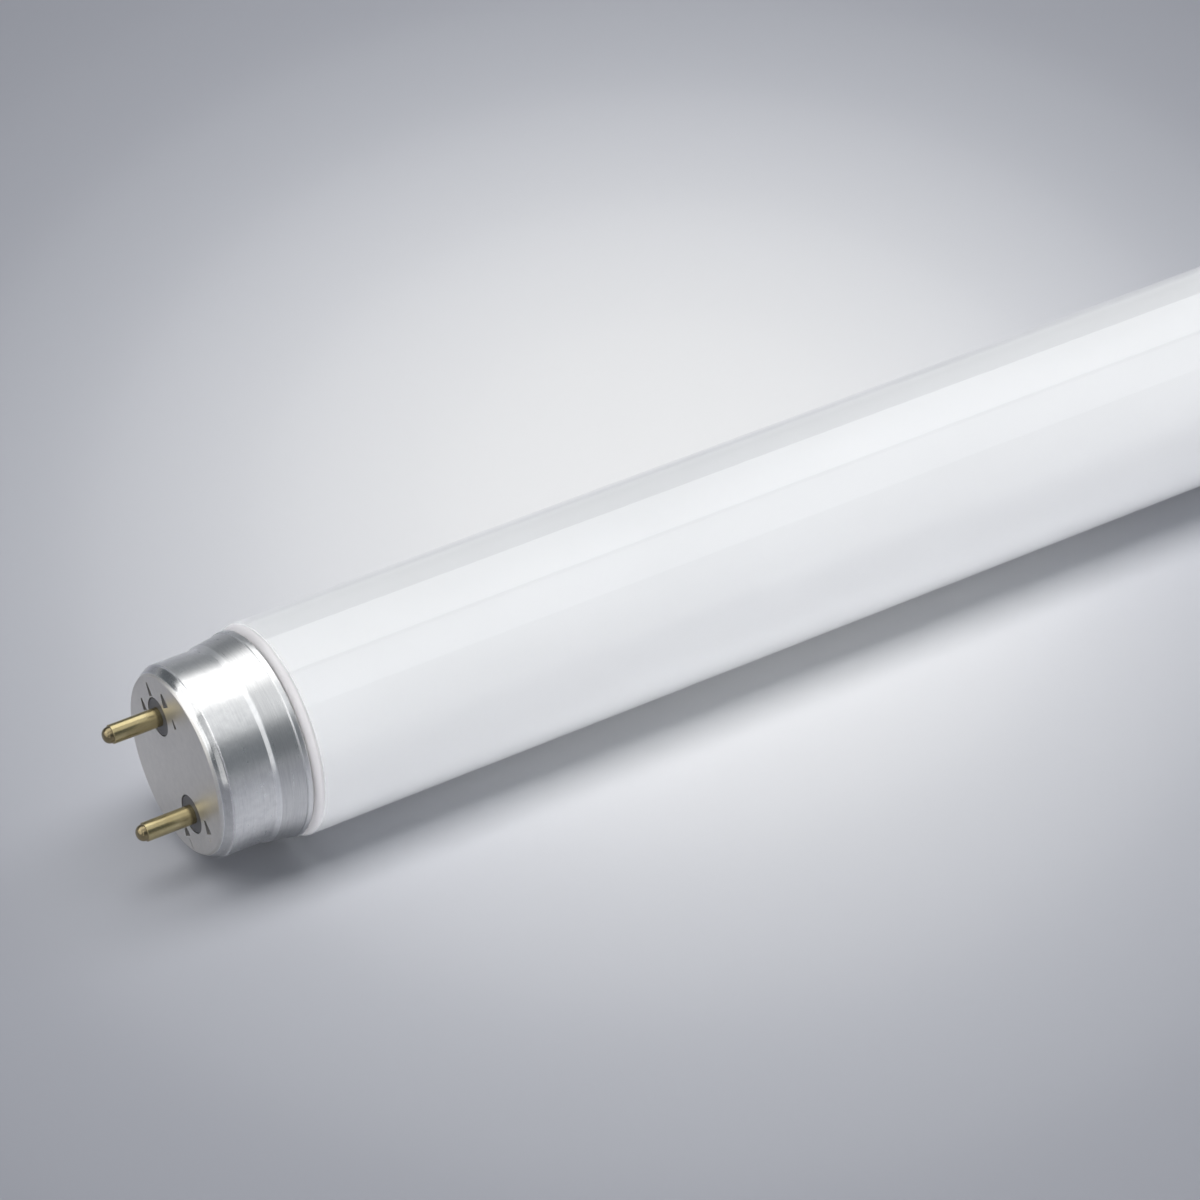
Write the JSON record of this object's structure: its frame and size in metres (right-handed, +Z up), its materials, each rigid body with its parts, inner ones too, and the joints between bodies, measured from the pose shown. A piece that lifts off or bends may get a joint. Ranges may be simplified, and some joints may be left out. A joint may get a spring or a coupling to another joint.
{
  "type": "led tube",
  "caption": "Glass tube light with a stepped aluminium cap and a pair of contact pins at each end, and a light strip with its driver inside.",
  "frame": {"origin": "on the tube's axis, halfway between the two cap faces", "axes": "+X along the tube from the near cap to the far cap, +Z up as the tube lies on a flat surface, +Y away from the viewer"},
  "size_m": [0.604, 0.028, 0.028],
  "materials": {
    "clear_glass": "clear, polished",
    "white_film": "white, lightly diffusing",
    "silicone": "matte",
    "strip_white": "white solder mask on aluminium",
    "led_body": "matte",
    "phosphor": "matte",
    "board_green": "glass fibre with green solder mask",
    "black_plastic": "matte",
    "blue_coat": "dipped epoxy",
    "yellow_plastic": "moulded",
    "can_sleeve": "shrunk sleeve",
    "grey_coat": "cement coat",
    "ferrite": "pressed and fired",
    "copper": "enamelled wire",
    "tin": "solder",
    "cap_aluminium": "drawn, brushed round",
    "insulator_grey": "moulded",
    "pin_brass": "turned, satin",
    "cement": "cured cement",
    "wire_white": "insulation"
  },
  "bodies": {
    "root": {"glass_tube": "clear_glass", "diffuser_film": "white_film", "thermal_bed": "silicone", "light_strip": "strip_white", "led_packages": "led_body", "led_phosphors": "phosphor", "driver_board": "board_green", "strip_header": "black_plastic", "surge_varistor": "blue_coat", "film_capacitor": "yellow_plastic", "bulk_capacitor": "can_sleeve", "output_capacitor": "can_sleeve", "fuse_resistor": "grey_coat", "bridge_rectifier": "black_plastic", "inductor_core": "ferrite", "inductor_coil": "copper", "control_chip": "black_plastic", "chip_resistors": "black_plastic", "near_cap_shell": "cap_aluminium", "near_cap_cement": "cement", "near_insulator": "insulator_grey", "near_solder_joints": "tin", "near_upper_pin": "pin_brass", "near_upper_wire": "wire_white", "near_lower_pin": "pin_brass", "near_lower_wire": "wire_white", "far_cap_shell": "cap_aluminium", "far_cap_cement": "cement", "far_insulator": "insulator_grey", "far_solder_joints": "tin", "far_upper_pin": "pin_brass", "far_upper_wire": "wire_white", "far_lower_pin": "pin_brass", "far_lower_wire": "wire_white"}
  },
  "joints": []
}
